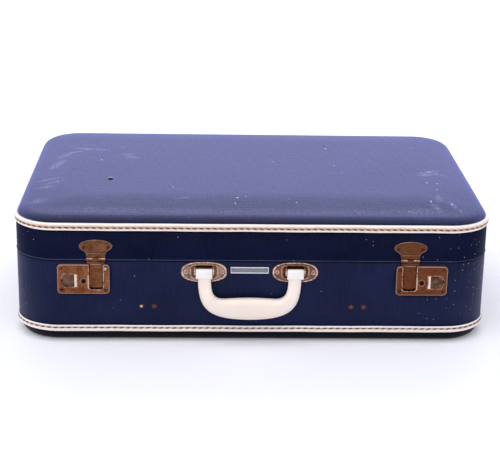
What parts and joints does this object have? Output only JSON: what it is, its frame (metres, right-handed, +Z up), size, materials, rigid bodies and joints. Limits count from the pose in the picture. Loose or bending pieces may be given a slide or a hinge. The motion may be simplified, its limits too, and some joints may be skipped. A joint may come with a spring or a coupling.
{
  "type": "suitcase",
  "caption": "Hard-sided rectangular suitcase with rounded corners, hinged lid, piped and stitched edges, hasp latches with keyed locks and a swinging moulded carrying handle.",
  "frame": {"origin": "middle of the underside that the case lies on, midway between the side walls and between the front and back walls", "axes": "+X along the width, to the right of someone facing the latches; -Y out of the front with the handle; +Z up, towards the lid"},
  "size_m": [0.605, 0.4223, 0.172],
  "materials": {
    "navy_vinyl": "glossy navy vinyl with a fine linen emboss on fibreboard",
    "board": "pressed fibreboard edge",
    "cream_trim": "cream vinyl piping, satin",
    "brown_thread": "waxed thread",
    "lining_cloth": "woven cotton lining",
    "tarnished_brass": "tarnished brass-plated steel with worn edges",
    "aged_bronze": "worn bronze plating, lighter than the latches",
    "steel": "dull zinc-plated steel",
    "ivory_plastic": "polished moulded plastic",
    "webbing": "woven cotton webbing",
    "plate_metal": "plain silver plate with a dark field"
  },
  "bodies": {
    "base": {"base_panel": "navy_vinyl", "base_wall": "navy_vinyl", "base_lip": "board", "base_lining": "lining_cloth", "base_trim": "cream_trim", "base_stitching": "brown_thread", "packing_straps": "webbing", "strap_buckles": "steel", "strap_rivets": "tarnished_brass", "handle_plates": "aged_bronze", "handle_plate_rivets": "aged_bronze", "handle_pins": "steel", "nameplate": "plate_metal", "nameplate_pins": "plate_metal", "lock_rivets": "tarnished_brass", "hinge_base_leaves": "tarnished_brass", "hinge_pins": "steel", "hinge_base_rivets": "tarnished_brass", "stay_base_brackets": "steel", "lock_plate_left": "tarnished_brass", "lock_case_left": "steel", "slide_spring_left": "steel", "lock_plate_right": "tarnished_brass", "lock_case_right": "steel", "slide_spring_right": "steel"},
    "lid": {"lid_panel": "navy_vinyl", "lid_wall": "navy_vinyl", "lid_liner_band": "board", "lid_lining": "lining_cloth", "lid_trim": "cream_trim", "lid_stitching": "brown_thread", "latch_lid_rivets": "tarnished_brass", "hinge_lid_leaves": "tarnished_brass", "hinge_lid_rivets": "tarnished_brass", "stay_lid_brackets": "steel", "latch_lid_plate_left": "tarnished_brass", "hasp_pin_left": "steel", "latch_lid_plate_right": "tarnished_brass", "hasp_pin_right": "steel"},
    "handle": {"carrying_handle": "ivory_plastic"},
    "hasp_left": {"hasp_left": "tarnished_brass"},
    "slide_left": {"latch_slide_left": "tarnished_brass"},
    "core_left": {"lock_core_left": "tarnished_brass"},
    "stay_lower_left": {"stay_lower_left": "steel", "stay_elbow_rivet_left": "steel"},
    "stay_upper_left": {"stay_upper_left": "steel"},
    "hasp_right": {"hasp_right": "tarnished_brass"},
    "slide_right": {"latch_slide_right": "tarnished_brass"},
    "core_right": {"lock_core_right": "tarnished_brass"},
    "stay_lower_right": {"stay_lower_right": "steel", "stay_elbow_rivet_right": "steel"},
    "stay_upper_right": {"stay_upper_right": "steel"}
  },
  "joints": [
    {"name": "lid_hinge", "type": "hinge", "parent": "base", "child": "lid", "pos_m": [0, 0.2027, 0.1093], "axis": [-1, 0, 0], "range_deg": [0, 100]},
    {"name": "handle_swing", "type": "hinge", "parent": "base", "child": "handle", "pos_m": [-0.0048, -0.2062, 0.0975], "axis": [-1, 0, 0], "range_deg": [0, 110]},
    {"name": "hasp_left_swing", "type": "hinge", "parent": "lid", "child": "hasp_left", "pos_m": [-0.196, -0.2027, 0.1114], "axis": [-1, 0, 0], "range_deg": [0, 120]},
    {"name": "slide_left_travel", "type": "slide", "parent": "base", "child": "slide_left", "axis": [-1, 0, 0], "range_m": [0, 0.0045], "stiffness_N_per_m": 300, "springref_m": -0.002, "deforming": ["slide_spring_left"]},
    {"name": "lock_left_turn", "type": "hinge", "parent": "base", "child": "core_left", "pos_m": [-0.2114, -0.2, 0.0831], "axis": [0, 1, 0], "range_deg": [0, 90]},
    {"name": "stay_left_swing", "type": "hinge", "parent": "base", "child": "stay_lower_left", "pos_m": [-0.2869, 0.135, 0.1], "axis": [-1, 0, 0], "range_deg": [0, 100.02]},
    {"name": "stay_left_elbow", "type": "hinge", "parent": "stay_lower_left", "child": "stay_upper_left", "pos_m": [-0.285, 0.07725, 0.13664], "axis": [1, 0, 0], "range_deg": [0, 99.9]},
    {"name": "hasp_right_swing", "type": "hinge", "parent": "lid", "child": "hasp_right", "pos_m": [0.196, -0.2027, 0.1114], "axis": [-1, 0, 0], "range_deg": [0, 120]},
    {"name": "slide_right_travel", "type": "slide", "parent": "base", "child": "slide_right", "axis": [1, 0, 0], "range_m": [0, 0.0045], "stiffness_N_per_m": 300, "springref_m": -0.002, "deforming": ["slide_spring_right"]},
    {"name": "lock_right_turn", "type": "hinge", "parent": "base", "child": "core_right", "pos_m": [0.2114, -0.2, 0.0831], "axis": [0, 1, 0], "range_deg": [0, 90]},
    {"name": "stay_right_swing", "type": "hinge", "parent": "base", "child": "stay_lower_right", "pos_m": [0.2869, 0.135, 0.1], "axis": [-1, 0, 0], "range_deg": [0, 100.02]},
    {"name": "stay_right_elbow", "type": "hinge", "parent": "stay_lower_right", "child": "stay_upper_right", "pos_m": [0.285, 0.07725, 0.13664], "axis": [1, 0, 0], "range_deg": [0, 99.9]}
  ],
  "couplings": [
    {"joint": "stay_left_swing", "follows": "lid_hinge", "ratio": 0.9997},
    {"joint": "stay_left_elbow", "follows": "lid_hinge", "ratio": 0.99846},
    {"joint": "stay_right_swing", "follows": "lid_hinge", "ratio": 0.9997},
    {"joint": "stay_right_elbow", "follows": "lid_hinge", "ratio": 0.99846}
  ]
}
